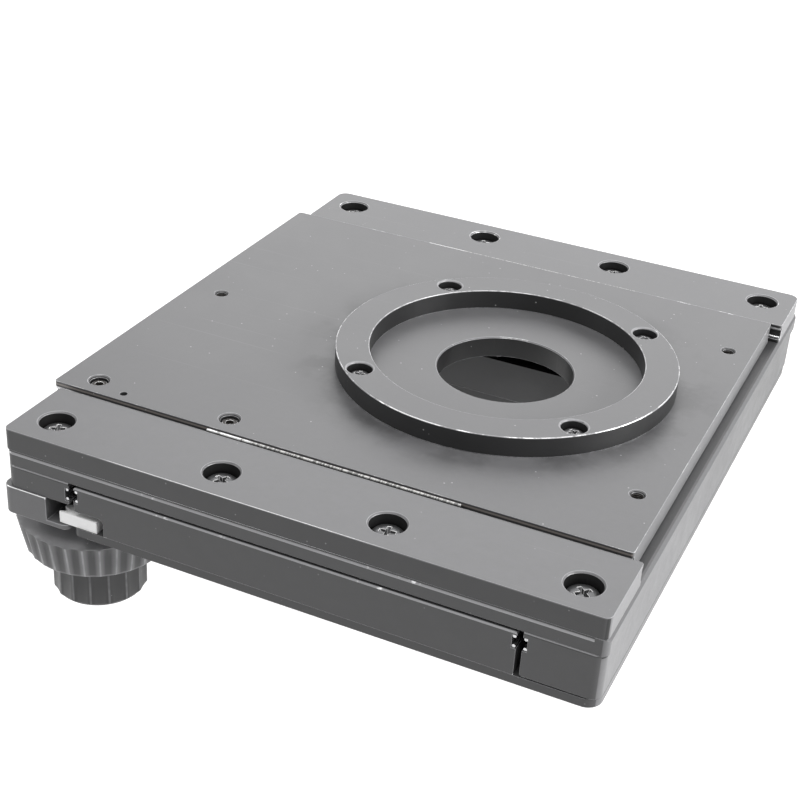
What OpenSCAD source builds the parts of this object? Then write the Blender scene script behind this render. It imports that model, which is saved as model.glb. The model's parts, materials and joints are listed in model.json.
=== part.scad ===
// Mechanical microscope stage: two crossed ball slides, a specimen ring and coaxial drive knobs.
// Millimetres. The origin is the centre of the base at its underside, on the light path.
// +X runs along the screwed rails, +Y goes to the back, +Z is up.
// The rest pose is the photographed one: the top plate stands a little to the left of its rails.

/* [View] */
// Sub-part to draw

/* [Outline] */
// Length of the rails and the middle plate along X
stage_l = 161; // [150:0.5:200]
// Depth of the whole stage along Y
stage_d = 188.6; // [170:0.1:230]
// Radius of the upright corners of rails and middle plate
corner_r = 1.8; // [0.5:0.1:5]
// Radius of the upright corners of side blocks and bracket
block_r = 2.6; // [0.5:0.1:5]
// Radius of the upright corners of the back rail
back_r = 3; // [0.5:0.1:5]
// Small edge chamfer
edge_c = 0.4; // [0.2:0.1:0.8]

/* [Layers] */
// Thickness of the bottom plate
base_t = 2.4; // [2:0.1:4]
// Height of the base slab
slab_t = 12.25; // [11:0.05:16]
// Running gap between base slab and middle plate
slab_gap = 0.7; // [0.3:0.05:1]
// Running gap between middle plate and top plate
plate_gap = 0.5; // [0.3:0.05:1]
// Thickness of the middle plate
mid_t = 4.45; // [4:0.05:8]
// Height of the front and back rails
rail_h = 6; // [5.5:0.1:9]
// Thickness of the sliding top plate
plate_t = 6.2; // [5.6:0.1:9]
// Running gap under the right block
block_gap = 0.35; // [0.3:0.05:0.8]

/* [Widths] */
// Width of the front and back rails
rail_w = 24.2; // [20:0.1:30]
// Width of the side blocks
block_w = 19.15; // [16:0.05:26]
// How far the bottom plate stands out past the slab on the left
base_lip = 0.8; // [0.4:0.1:3]
// How far the bottom plate ends short of the right block
base_in = 0.1; // [0:0.1:2]
// Shift of the middle plate to the right of the rails
mid_dx = 0.45; // [0:0.05:1]
// Height of the shallow groove between rail and middle plate
groove_h = 0.75; // [0.3:0.05:1.5]
// Depth of that groove, which is also its chamfer
groove_d = 0.4; // [0.2:0.05:0.8]
// Chamfer of the middle plate's top edge at its right end
mid_c = 0.8; // [0.4:0.1:1.5]
// Chamfer of the base slab's top edges
slab_c = 0.6; // [0.3:0.1:1]

/* [Ball guides] */
// Gap between the two sides of an X guide
x_gap = 1.5; // [1.2:0.05:2]
// Gap between the two sides of a Y guide
y_gap = 1.45; // [1.2:0.05:2]
// Ball diameter
ball_d = 3; // [2:0.1:4]
// Track wire diameter
wire_d = 0.9; // [0.6:0.05:1.2]
// Clearance between a ball and its wires
ball_fit = 0.03; // [0.01:0.01:0.08]
// Depth of the X guide centre under the rail tops
x_guide_drop = 2.9; // [2.5:0.05:3.5]
// Depth of the Y guide centre under the slab top
y_guide_drop = 2.95; // [2.5:0.05:4]
// Cage length
cage_l = 70.4; // [40:0.2:100]
// Cage strip thickness
cage_t = 0.6; // [0.4:0.05:0.9]
// Cage strip height
cage_h = 5.1; // [4:0.1:5.3]
// How far the X cages stand above the rail tops
cage_top = 0.3; // [-0.3:0.05:0.5]
// Balls in one cage
cage_balls = 8; // [4:1:12]
// Distance from ball to ball
ball_pitch = 9; // [6:0.5:12]

/* [Rest position] */
// Top plate shift from the middle of the rails
plate_dx = -3; // [-6:0.1:6]
// Shift of the two X cages from the middle of the rails
cage_dx = -0.7; // [-3:0.1:3]

/* [Openings] */
// Length along X of the opening through slab and bottom plate
light_l = 80; // [60:1:86]
// Width along Y of the opening through slab and bottom plate
light_w = 50; // [30:1:60]
// Corner radius of that opening
light_r = 8; // [3:0.5:15]
// Side of the square opening in the middle plate
mid_open = 84; // [70:1:96]
// Corner radius of the middle plate opening
mid_open_r = 10; // [3:0.5:20]
// Hole through the top plate
plate_hole_d = 38.2; // [20:0.1:60]

/* [Specimen ring] */
// Outer diameter
ring_d = 95; // [80:0.5:110]
// Radial width of the ring
ring_wall = 9.35; // [7:0.05:14]
// Height
ring_h = 5.8; // [4:0.1:9]
// Ring centre from the middle of the top plate along X
ring_off = 21.35; // [0:0.05:25]

/* [Screws] */
// Rail screw counterbore diameter
rail_cb_d = 9.2; // [8:0.1:10]
// Rail screw counterbore depth
rail_cb_depth = 4.3; // [3:0.1:5]
// Rail screw head diameter
rail_head_d = 8.3; // [6:0.1:8.6]
// Rail screw head height
rail_head_h = 2; // [1:0.1:2.8]
// Rail screw shank diameter
rail_shank_d = 3.9; // [3:0.1:4]
// Outer rail screws from the ends of the rail along X
rail_screw_end = 9.5; // [7:0.1:16]
// Rail screws from the outer edge along Y
rail_screw_y = 9.7; // [8:0.1:14]
// Ring screw counterbore diameter
ring_cb_d = 7; // [5.5:0.1:7.4]
// Ring screw counterbore depth
ring_cb_depth = 3.6; // [2:0.1:4.6]
// Ring screw head diameter
ring_head_d = 6; // [4:0.1:6.4]
// Ring screw head height
ring_head_h = 1.9; // [1:0.1:2.5]
// Ring screw shank diameter
ring_shank_d = 2.9; // [2:0.1:3]
// Flat head diameter of the screws in middle and bottom plate
flat_head_d = 7; // [6:0.1:8]
// Flat head height of those screws
flat_head_h = 1.9; // [1.4:0.1:2.2]
// Length of the bottom plate screws
base_screw_l = 9; // [6:0.1:12]
// Length of the side block screws
block_screw_l = 8.2; // [6:0.1:10]
// Flat head diameter of the Y rack screws
small_head_d = 4.2; // [3.6:0.1:4.8]
// Flat head height of the Y rack screws
small_head_h = 1.2; // [0.8:0.1:1.5]
// Shank diameter of the rack screws
small_shank_d = 2.4; // [2:0.1:2.6]
// Length of the Y rack screws
small_screw_l = 4.8; // [4:0.1:5.2]
// Socket head diameter of the bracket screws
socket_head_d = 5.4; // [4.5:0.1:5.6]
// Socket head height of the bracket screws
socket_head_h = 2; // [1.5:0.1:3]
// Clearance round a sunk socket head, on the diameter
head_clear = 0.4; // [0.2:0.05:0.8]
// Diameter of the set screws in the knobs
set_screw_d = 3; // [2:0.1:4]
// Length of the set screws in the knobs
set_screw_l = 6; // [3:0.1:8]
// Direction of the set screws round the knob axis, in degrees from +X
set_screw_turn = 120; // [0:6:354]
// Clearance of a shank in its hole, on the radius
shank_fit = 0.05; // [0.02:0.01:0.2]
// Radius of the small threaded holes in the top plate
tap_r = 1.6; // [1:0.05:2]
// Width of the chamfer round the mouths of those holes
tap_c = 0.6; // [0.2:0.1:1]
// Radius of the four mounting holes in the underside
mount_r = 2.1; // [1.5:0.1:3]
// Mounting hole spacing along X
mount_px = 80; // [70:1:90]
// Mounting hole spacing along Y
mount_py = 120; // [90:1:150]
// Depth of the mounting holes
mount_depth = 9; // [6:0.5:11]

/* [Drive] */
// Tooth module
gear_m = 1; // [0.8:0.1:1.2]
// Teeth of the X pinion
x_teeth = 12; // [10:1:14]
// Teeth of the Y pinion
y_teeth = 10; // [9:1:12]
// Knob axis from the left end of the stage
knob_in_x = 11.5; // [9:0.1:14]
// Knob axis from the front face of the stage
knob_in_y = 22.2; // [20:0.1:24]
// Inner shaft diameter
inner_d = 3; // [2.5:0.1:4]
// Outer shaft diameter
outer_d = 6; // [5:0.1:7]
// Running clearance of the shafts, on the radius
run_fit = 0.03; // [0.01:0.01:0.1]
// Tooth thinning at the pitch line, on each gear
backlash = 0.12; // [0.05:0.01:0.3]
// X rack length
x_rack_l = 60; // [50:0.5:70]
// Y rack length
y_rack_l = 49.2; // [40:0.1:60]
// How far the Y rack ends behind the front face
rack_back = 0.3; // [0:0.05:1]

/* [Knobs] */
// Large knob radius at the top of its shoulder
large_r1 = 13; // [9:0.1:18]
// Large knob radius where the flutes start
large_r2 = 21.6; // [18:0.1:26]
// Large knob radius at its bottom
large_r3 = 19.7; // [15:0.1:22]
// Height of the smooth shoulder
large_band = 6.1; // [3:0.1:8]
// Height of the fluted band
large_rim = 9.6; // [6:0.1:14]
// Flutes round the large knob
large_flutes = 30; // [20:1:40]
// Gap between base underside and large knob
knob_gap = 0.8; // [0.6:0.1:3]
// Flute depth at the top of the large knob's fluted band
large_depth = 0.9; // [0.3:0.05:1.2]
// Flute depth at the large knob's bottom
large_low = 0.35; // [0.2:0.05:0.8]
// Chamfer round the bottom of both knobs
knob_c = 0.7; // [0.3:0.1:1.2]
// Small knob radius
small_r = 12.9; // [10:0.1:15]
// Small knob height
small_h = 13.8; // [10:0.1:18]
// Flutes round the small knob
small_flutes = 16; // [12:1:24]
// Flute depth of the small knob
small_depth = 0.35; // [0.2:0.05:0.8]
// Radius of the cap in the small knob
cap_r = 8; // [6:0.1:9]
// Thickness of that cap
cap_h = 1; // [0.8:0.1:1.5]
// Radius of the washer between the knobs
washer_r = 6; // [4:0.1:8]
// Thickness of that washer
washer_t = 0.4; // [0.2:0.05:0.6]
// Gap between the two knobs
mid_knob_gap = 0.7; // [0.4:0.1:2]

/* [Bracket] */
// Bracket width along X under the left block
bracket_w = 13.5; // [10:0.1:16]
// Bracket length along Y
bracket_l = 45; // [40:0.5:60]
// How far the bracket stands proud of the front face
bracket_out = 0.4; // [0.3:0.1:1]
// Flange thickness
flange_t = 1.4; // [1.2:0.1:2.5]
// Flange width along X
flange_w = 20; // [16:0.1:22]

/* [Hidden] */
$fn = 64;
fine = 96;
eps = 0.01;
z_base = base_t;
z_slab = base_t + slab_t;
z_mid = z_slab + slab_gap;
z_mid_top = z_mid + mid_t;
z_rail = z_mid_top + rail_h;
z_plate = z_mid_top + plate_gap;
z_plate_top = z_plate + plate_t;
z_ring = z_plate_top + ring_h;
hx = stage_l / 2;
hy = stage_d / 2;
block_x = hx - block_w;
slab_hx = block_x - y_gap;
slab_w = 2 * slab_hx;
base_left = slab_hx + base_lip;
rail_in = hy - rail_w;
plate_hy = rail_in - x_gap;
ball_r = ball_d / 2;
wire_r = wire_d / 2;
wire_a = (ball_r + wire_r + ball_fit) / sqrt(2);
pocket_a = wire_a + wire_r + 0.02;
x_guide_z = z_rail - x_guide_drop;
y_guide_z = z_slab - y_guide_drop;
x_guide_y = rail_in - x_gap / 2;
y_guide_x = slab_hx + y_gap / 2;
left_block_z = 8.8;
right_block_z = z_base + block_gap;
notch_w = 8.5;
notch_top = 7.3;
ring_x = plate_dx + ring_off;
ring_in_d = ring_d - 2 * ring_wall;
ring_a = (ring_d - ring_wall + 0.4) / 2 / sqrt(2);
rail_screw_x1 = hx - rail_screw_end;
rail_screw_x2 = rail_screw_x1 * 0.317;
knob_x = -hx + knob_in_x;
knob_y = -hy + knob_in_y;
tip_a = 0.8 * gear_m;
root_a = 1.05 * gear_m;
press_angle = 25;
x_pr = gear_m * x_teeth / 2;
y_pr = gear_m * y_teeth / 2;
x_pitch_y = knob_y + x_pr;
y_pitch_x = knob_x + y_pr;
x_rack_x0 = -hx - 0.5;
x_rack_z = z_mid + 0.55;
x_rack_back = 7;
rack_pitch = PI * gear_m;
y_rack_y0 = -hy + rack_back;
y_rack_h = 3.3;
y_rack_back = 9.4;
bracket_z = 0.7;
bracket_x = -hx - 1.5;
bracket_top = left_block_z;
bracket_y = -hy - bracket_out;
x_pinion_z = z_mid + 0.7;
x_pinion_h = 2.9;
y_pinion_z = bracket_z + flange_t + 0.4;
y_pinion_h = 3.2;
bushing_r = 5;
shaft_seat = 1.1;
large_top = -knob_gap;
large_bot = large_top - large_band - large_rim;
small_top = large_bot - mid_knob_gap;
small_bot = small_top - small_h;
rail_head_z = z_rail - rail_cb_depth;
ring_head_z = z_ring - ring_cb_depth;
rack_screw_x = [x_rack_x0 + 7.5, x_rack_x0 + 47.7];
rack_screw_y = x_pitch_y + 3.6;
rack_head_d = 2 * small_shank_d - 0.4;
rack_head_h = 0.8 * small_shank_d;
rack_cb_d = rack_head_d + head_clear + 0.1;
rack_cb_depth = rack_head_h + 1.1;
pin_r = 1;
pin_x = x_rack_x0 + 17.2;
pin_y = x_pitch_y + 0.7;
pin_sink = 1;
block_screw_y = [-hy + 50.3, 0, hy - 50.3];
block_screw_x = rail_screw_x1;
base_screw_x = [-slab_hx + 12.9, slab_hx - 12.9];
base_screw_y = [-hy + 12.3, 0, hy - 12.3];
y_rack_screw_y = [y_rack_y0 + 12, y_rack_y0 + 36];
y_rack_screw_x = y_pitch_x + 6.5;
bracket_screw_x = bracket_x + 6.5;
bracket_screw_y = [bracket_y + 6.7, bracket_y + 38.7];
bracket_cb_d = socket_head_d + head_clear;
bracket_cb_depth = socket_head_h + 0.4;
bracket_screw_l = left_block_z + 3.6 - bracket_z - bracket_cb_depth;
accessory = [[plate_dx - hx + 10.1, 0.4], [plate_dx + hx - 6.9, 44], [plate_dx + hx - 6.9, -44]];
rack_travel = 7;
slot_x0 = -hx - 1;
slot_x1 = x_rack_x0 + x_rack_l + rack_travel + 0.5;
small_cut = 5;
large_cut = 1.65;
large_lean = atan((large_r2 - large_depth - large_r3 + large_low) / large_rim);
large_mid = (large_r2 - large_depth + large_r3 - large_low) / 2;

dark = [0.2, 0.2, 0.21];
grey = [0.36, 0.36, 0.37];
steel = [0.72, 0.73, 0.75];

// Rectangle from (x0, y0) to (x1, y1) with four corner radii: front left, front right, back right, back left
module round_rect(x0, y0, x1, y1, r) {
  difference() {
    translate([x0, y0]) square([x1 - x0, y1 - y0]);
    if (r[0] > 0) corner_cut(x0, y0, 1, 1, r[0]);
    if (r[1] > 0) corner_cut(x1, y0, -1, 1, r[1]);
    if (r[2] > 0) corner_cut(x1, y1, -1, -1, r[2]);
    if (r[3] > 0) corner_cut(x0, y1, 1, -1, r[3]);
  }
}

// What a rounded corner leaves out of a square one
module corner_cut(x, y, sx, sy, r) {
  difference() {
    translate([sx > 0 ? x - 1 : x - r, sy > 0 ? y - 1 : y - r]) square([r + 1, r + 1]);
    translate([x + sx * r, y + sy * r]) circle(r = r);
  }
}

// Bar with a square section turned by 45 degrees, used to break a long edge along X
module edge_x(len, y, z, c) {
  translate([0, y, z]) rotate([45, 0, 0]) cube([len, c * sqrt(2), c * sqrt(2)], center = true);
}

// The same along Y
module edge_y(len, x, z, c) {
  translate([x, 0, z]) rotate([0, 45, 0]) cube([c * sqrt(2), len, c * sqrt(2)], center = true);
}

// Cross-recess screw: underside of the head at z = 0, shank below
module cross_screw(head_d, head_h, shank_d, shank_l) {
  slot = head_d * 0.17;
  difference() {
    union() {
      cylinder(d = shank_d, h = shank_l + 0.2, $fn = 32);
      translate([0, 0, shank_l]) cylinder(d = head_d, h = head_h * 0.6, $fn = 48);
      translate([0, 0, shank_l + head_h * 0.6])
        cylinder(d1 = head_d, d2 = head_d * 0.74, h = head_h * 0.4, $fn = 48);
    }
    translate([0, 0, shank_l + head_h]) cube([head_d * 0.62, slot, head_h * 1.3], center = true);
    translate([0, 0, shank_l + head_h]) cube([slot, head_d * 0.62, head_h * 1.3], center = true);
  }
}

// Socket-head screw: shank from z = 0, head on top
module socket_screw(head_d, head_h, shank_d, shank_l) {
  difference() {
    union() {
      cylinder(d = shank_d, h = shank_l + 0.2, $fn = 32);
      translate([0, 0, shank_l]) cylinder(d = head_d, h = head_h, $fn = 48);
    }
    translate([0, 0, shank_l + head_h * 0.35]) cylinder(d = head_d * 0.52, h = head_h, $fn = 6);
  }
}

// Flat-head screw: top of the head at z = 0, shank below
module flat_screw(head_d, head_h, shank_d, total_l) {
  difference() {
    union() {
      translate([0, 0, -total_l]) cylinder(d = shank_d, h = total_l - head_h + 0.1, $fn = 32);
      translate([0, 0, -head_h]) cylinder(d1 = shank_d, d2 = head_d, h = head_h, $fn = 48);
    }
    translate([0, 0, -head_h * 0.75]) cylinder(d = head_d * 0.42, h = head_h, $fn = 6);
  }
}

// Room for a flat-head screw
module flat_hole(head_d, head_h, shank_d, total_l) {
  translate([0, 0, -total_l - 0.1]) cylinder(d = shank_d + 2 * shank_fit, h = total_l + 0.1, $fn = 32);
  translate([0, 0, -head_h]) cylinder(d1 = shank_d + 2 * shank_fit, d2 = head_d + 2 * shank_fit,
    h = head_h + eps, $fn = 48);
}

// Half tooth width of a gear at radius r, as an angle in degrees
function inv_deg(a) = tan(a) * 180 / PI - a;
function tooth_half(r, pr) = let (rb = pr * cos(press_angle), a = r > rb ? acos(rb / r) : 0,
  base = (PI * gear_m / 4 - backlash / 2) / pr * 180 / PI + inv_deg(press_angle)) base - inv_deg(a);

// Outline of one pinion, with a tooth pointing at angle 0
module pinion_2d(teeth) {
  pr = gear_m * teeth / 2;
  ra = pr + tip_a;
  rf = pr - root_a;
  rr = [rf, pr * cos(press_angle) > rf ? pr * cos(press_angle) : rf + 0.05, pr - 0.1, pr + 0.25,
    ra - 0.2, ra];
  pts = [for (t = [0 : teeth - 1]) each concat(
    [for (i = [0 : 5]) let (a = t * 360 / teeth - (i == 0 ? tooth_half(rr[1], pr) : tooth_half(rr[i],
      pr))) [rr[i] * cos(a), rr[i] * sin(a)]],
    [for (i = [5 : -1 : 0]) let (a = t * 360 / teeth + (i == 0 ? tooth_half(rr[1],
      pr) : tooth_half(rr[i], pr))) [rr[i] * cos(a), rr[i] * sin(a)]])];
  polygon(pts);
}

// Rack outline: pitch line on y = 0, teeth pointing to -Y, a gap centred at x = gap_x.
// Where the end face lies within the land of a tooth, that tooth is kept, cut by the end face.
module rack_2d(x0, len, gap_x, back) {
  p = rack_pitch;
  first = ceil((x0 + p * 0.75 - gap_x) / p - 0.5);
  last = floor((x0 + len - p * 0.75 - gap_x) / p - 0.5);
  h = PI * gear_m / 4 - backlash / 2;
  ta = tip_a * tan(press_angle);
  tr = root_a * tan(press_angle);
  teeth = [for (k = [first : last]) let (c = gap_x + (k + 0.5) * p) each
    [[c - h - tr, root_a], [c - h + ta, -tip_a], [c + h - ta, -tip_a], [c + h + tr, root_a]]];
  cut_c = gap_x + (round((x0 - gap_x) / p - 0.5) + 0.5) * p;
  start = abs(cut_c - x0) < h - ta ? [[x0, -tip_a], [cut_c + h - ta, -tip_a], [cut_c + h + tr,
    root_a]] : [[x0, root_a]];
  polygon(concat([[x0, back]], start, teeth, [[x0 + len, root_a], [x0 + len, back]]));
}

// Section of the base slab, front view, with both wire pockets and the rack notch
module slab_section() {
  d = pocket_a - y_gap / 2;
  difference() {
    polygon([[-slab_hx + notch_w, z_base], [slab_hx, z_base], [slab_hx, z_slab - slab_c],
      [slab_hx - slab_c, z_slab],
      [-slab_hx + slab_c, z_slab], [-slab_hx, z_slab - slab_c], [-slab_hx, notch_top],
        [-slab_hx + notch_w - 1, notch_top],
      [-slab_hx + notch_w, notch_top - 1]]);
    translate([slab_hx - d, y_guide_z - pocket_a]) square([d + 1, 2 * pocket_a]);
    translate([-slab_hx - 1, y_guide_z - pocket_a]) square([d + 1, 2 * pocket_a]);
  }
}

// Two wires of one side of a guide: direction, centre and the side they lie on
module wire_pair_y(x, side, len) {
  for (s = [-1, 1]) translate([x + side * wire_a, len / 2, y_guide_z + s * wire_a]) rotate([90, 0, 0])
    cylinder(r = wire_r, h = len, $fn = 24);
}
module wire_pair_x(cx, y, side, len) {
  for (s = [-1, 1]) translate([cx - len / 2, y + side * wire_a, x_guide_z + s * wire_a])
    rotate([0, 90, 0]) cylinder(r = wire_r, h = len, $fn = 24);
}

// Cage strip along X with its row of ball holes
module cage_x(cx, cy) {
  difference() {
    translate([cx - cage_l / 2, cy - cage_t / 2, x_guide_z - cage_h / 2])
      cube([cage_l, cage_t, z_rail + cage_top - x_guide_z + cage_h / 2]);
    for (i = [0 : cage_balls - 1])
      translate([cx + (i - (cage_balls - 1) / 2) * ball_pitch, cy + 1, x_guide_z]) rotate([90, 0, 0])
      cylinder(r = ball_r + 0.05, h = 2, $fn = 32);
  }
}
module cage_y(cx, cy) {
  difference() {
    translate([cx - cage_t / 2, cy - cage_l / 2, y_guide_z - cage_h / 2]) cube([cage_t, cage_l, cage_h]);
    for (i = [0 : cage_balls - 1])
      translate([cx - 1, cy + (i - (cage_balls - 1) / 2) * ball_pitch, y_guide_z]) rotate([0, 90, 0])
      cylinder(r = ball_r + 0.05, h = 2, $fn = 32);
  }
}
module balls_x(cx, cy) {
  for (i = [0 : cage_balls - 1]) translate([cx + (i - (cage_balls - 1) / 2) * ball_pitch, cy, x_guide_z])
    sphere(r = ball_r, $fn = 24);
}
module balls_y(cx, cy) {
  for (i = [0 : cage_balls - 1]) translate([cx, cy + (i - (cage_balls - 1) / 2) * ball_pitch, y_guide_z])
    sphere(r = ball_r, $fn = 24);
}

// Outline of the opening through the base
module light_shape() round_rect(-light_l / 2, -light_w / 2, light_l / 2, light_w / 2, [light_r, light_r,
  light_r, light_r]);

// ---- base ----
module base_slab() color(dark) difference() {
  translate([0, hy, 0]) rotate([90, 0, 0]) linear_extrude(height = stage_d) slab_section();
  translate([0, 0, z_base - 1]) linear_extrude(height = slab_t + 2) light_shape();
  edge_x(slab_w + 2, -hy, z_slab, slab_c);
  edge_x(slab_w + 2, hy, z_slab, slab_c);
  for (x = base_screw_x, y = base_screw_y) translate([x, y, z_base - 1])
    cylinder(d = rail_shank_d + 2 * shank_fit, h = base_screw_l - z_base + 1.4, $fn = 32);
  for (x = [-1, 1], y = [-1, 1]) translate([x * mount_px / 2, y * mount_py / 2, z_base - 1])
    cylinder(r = mount_r, h = mount_depth - z_base + 1, $fn = 32);
}

module bottom_plate() color(dark) difference() {
  linear_extrude(height = base_t) round_rect(-base_left, -hy, hx - base_in, hy, [2, 4, 4, 2]);
  translate([0, 0, -1]) linear_extrude(height = base_t + 2) light_shape();
  for (x = base_screw_x, y = base_screw_y) translate([x, y, 0]) mirror([0, 0, 1])
    flat_hole(flat_head_d, flat_head_h, rail_shank_d, base_t + 1);
  for (x = [-1, 1], y = [-1, 1]) translate([x * mount_px / 2, y * mount_py / 2, -1])
    cylinder(r = mount_r, h = base_t + 2, $fn = 32);
  for (y = y_rack_screw_y) translate([y_rack_screw_x, y, 0]) mirror([0, 0, 1])
    flat_hole(small_head_d, small_head_h, small_shank_d, base_t + 1);
}

module bottom_plate_screws() color(steel)
  for (x = base_screw_x, y = base_screw_y) translate([x, y, 0]) mirror([0, 0, 1])
    flat_screw(flat_head_d, flat_head_h, rail_shank_d, base_screw_l);

module y_rack() color(steel) difference() {
  translate([y_pitch_x, 0, z_base]) rotate([0, 0, -90]) mirror([1, 0, 0])
    linear_extrude(height = y_rack_h)
    rack_2d(y_rack_y0, y_rack_l, knob_y + rack_pitch / 2, y_rack_back + root_a);
  for (y = y_rack_screw_y) translate([y_rack_screw_x, y, z_base - 1])
    cylinder(d = small_shank_d + 2 * shank_fit, h = small_screw_l - z_base + 1.2, $fn = 32);
}

module y_rack_screws() color(steel)
  for (y = y_rack_screw_y) translate([y_rack_screw_x, y, 0]) mirror([0, 0, 1])
    flat_screw(small_head_d, small_head_h, small_shank_d, small_screw_l);

module base_wires() color(steel) {
  wire_pair_y(y_guide_x, -1, stage_d - 0.6);
  wire_pair_y(-y_guide_x, 1, stage_d - 0.6);
}

// ---- carriage that moves along Y ----
// What the shallow groove under a rail takes out of the middle plate; side is -1 front, 1 back
module edge_groove(side) {
  low = -groove_h - groove_d - 0.1;
  translate([-hx - 1, 0, z_mid_top]) rotate([90, 0, 90]) linear_extrude(height = stage_l - 2)
    polygon([[side * (hy - groove_d), 1], [side * (hy - groove_d), -groove_h], [side * (hy + 0.1), low],
      [side * (hy + 1), low], [side * (hy + 1), 1]]);
}

module middle_plate() color(dark) difference() {
  translate([0, 0, z_mid]) linear_extrude(height = mid_t) difference() {
    round_rect(-hx + mid_dx, -hy, hx + mid_dx, hy, [corner_r, corner_r, corner_r, corner_r]);
    round_rect(-mid_open / 2, -mid_open / 2, mid_open / 2, mid_open / 2, [mid_open_r, mid_open_r,
      mid_open_r, mid_open_r]);
    translate([slot_x0, x_pitch_y - 1.4]) square([slot_x1 - slot_x0, x_rack_back + 2]);
    translate([knob_x, knob_y]) circle(r = x_pr + tip_a + 0.5);
  }
  edge_groove(-1);
  edge_groove(1);
  edge_y(stage_d + 2, hx + mid_dx, z_mid_top, mid_c);
  for (x = [-rail_screw_x1, -rail_screw_x2, rail_screw_x2, rail_screw_x1], s = [-1, 1])
    translate([x, s * (hy - rail_screw_y), z_mid - 1])
      cylinder(d = rail_shank_d + 2 * shank_fit, h = mid_t + 2, $fn = 32);
  for (x = [-block_screw_x, block_screw_x], y = block_screw_y) translate([x, y, z_mid_top])
    flat_hole(flat_head_d, flat_head_h, rail_shank_d, mid_t + 1);
}

// Side block that carries the outer side of a Y guide; side is -1 left, 1 right
module side_block(side, z0) {
  d = pocket_a - y_gap / 2;
  difference() {
    translate([0, 0, z0]) linear_extrude(height = z_mid - z0)
      round_rect(side > 0 ? block_x : -hx, -hy, side > 0 ? hx : -block_x, hy, side > 0 ? [0, block_r,
        block_r, 0] : [block_r, 0, 0, block_r]);
    translate([side * block_x - (side > 0 ? 1 : d), -hy - 1, y_guide_z - pocket_a])
      cube([d + 1, stage_d + 2, 2 * pocket_a]);
    for (y = block_screw_y) translate([side * block_screw_x, y, z_mid_top - block_screw_l - 0.4])
      cylinder(d = rail_shank_d + 2 * shank_fit, h = block_screw_l, $fn = 32);
    edge_y(stage_d + 2, side * block_x, z0, edge_c);
    edge_y(stage_d + 2, side * hx, z_mid, edge_c);
    edge_x(stage_l + 2, -hy, z_mid, edge_c);
    edge_x(stage_l + 2, hy, z_mid, edge_c);
  }
}

module left_block() color(dark) difference() {
  side_block(-1, left_block_z);
  translate([knob_x, knob_y, left_block_z - 1]) cylinder(r = inner_d / 2 + run_fit, h = 20, $fn = 48);
  for (y = bracket_screw_y) translate([bracket_screw_x, y, left_block_z - 1])
    cylinder(d = ring_shank_d + 2 * shank_fit, h = 5, $fn = 32);
}

module right_block() color(dark) side_block(1, right_block_z);

module block_screws() color(steel)
  for (x = [-block_screw_x, block_screw_x], y = block_screw_y) translate([x, y, z_mid_top - 0.05])
    flat_screw(flat_head_d, flat_head_h, rail_shank_d, block_screw_l);

// Long rail that carries one side of an X guide; side is -1 front, 1 back
module x_rail(side) {
  d = pocket_a - x_gap / 2;
  difference() {
    translate([0, 0, z_mid_top]) linear_extrude(height = rail_h)
      round_rect(-hx, side > 0 ? rail_in : -hy, hx, side > 0 ? hy : -rail_in, side > 0 ? [0.8, 0.8,
        back_r, back_r] : [corner_r, corner_r, 0.8, 0.8]);
    translate([-hx - 1, side * rail_in - (side > 0 ? 1 : d), x_guide_z - pocket_a])
      cube([stage_l + 2, d + 1, 2 * pocket_a]);
    for (x = [-rail_screw_x1, -rail_screw_x2, rail_screw_x2, rail_screw_x1])
      translate([x, side * (hy - rail_screw_y), 0]) {
      translate([0, 0, z_mid_top - 1]) cylinder(d = rail_shank_d + 0.4, h = rail_h + 2, $fn = 32);
      translate([0, 0, rail_head_z]) cylinder(d = rail_cb_d, h = rail_cb_depth + 1, $fn = 64);
      translate([0, 0, z_rail - edge_c])
        cylinder(d1 = rail_cb_d, d2 = rail_cb_d + 2 * edge_c + 0.4, h = edge_c + 0.2, $fn = 64);
    }
  }
}

module front_rail() color(grey) difference() {
  x_rail(-1);
  translate([knob_x, knob_y, z_mid_top - 1])
    cylinder(r = inner_d / 2 + run_fit, h = 1 + shaft_seat, $fn = 48);
}

module back_rail() color(grey) x_rail(1);

module rail_screws() color(steel)
  for (x = [-rail_screw_x1, -rail_screw_x2, rail_screw_x2, rail_screw_x1], s = [-1, 1])
    translate([x, s * (hy - rail_screw_y), z_mid + 0.1]) rotate([0, 0, 20 * x + 37 * s])
      cross_screw(rail_head_d, rail_head_h, rail_shank_d, rail_head_z - z_mid - 0.1);

module block_wires() color(steel) {
  wire_pair_y(y_guide_x, 1, stage_d - 0.6);
  wire_pair_y(-y_guide_x, -1, stage_d - 0.6);
}

module rail_wires() color(steel) {
  wire_pair_x(0, -x_guide_y, -1, stage_l - 0.6);
  wire_pair_x(0, x_guide_y, 1, stage_l - 0.6);
}

module knob_bracket() color(dark) difference() {
  union() {
    translate([0, 0, bracket_z]) linear_extrude(height = flange_t)
      round_rect(bracket_x, bracket_y, bracket_x + flange_w, bracket_y + bracket_l, [block_r, 2, 2,
        block_r]);
    translate([0, 0, bracket_z + flange_t - eps])
      linear_extrude(height = bracket_top - bracket_z - flange_t + eps)
      round_rect(bracket_x, bracket_y, bracket_x + bracket_w, bracket_y + bracket_l, [block_r, 0, 0,
        block_r]);
  }
  translate([knob_x, knob_y, bracket_z - 1]) cylinder(r = bushing_r, h = 4, $fn = 48);
  translate([knob_x, knob_y, bracket_z + flange_t]) cylinder(r = y_pr + tip_a + 0.8, h = 20, $fn = 64);
  for (y = bracket_screw_y) translate([bracket_screw_x, y, 0]) {
    translate([0, 0, -1]) cylinder(d = ring_shank_d + 2 * shank_fit, h = 20, $fn = 32);
    translate([0, 0, bracket_z - 1]) cylinder(d = bracket_cb_d, h = bracket_cb_depth + 1, $fn = 48);
  }
}

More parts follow.
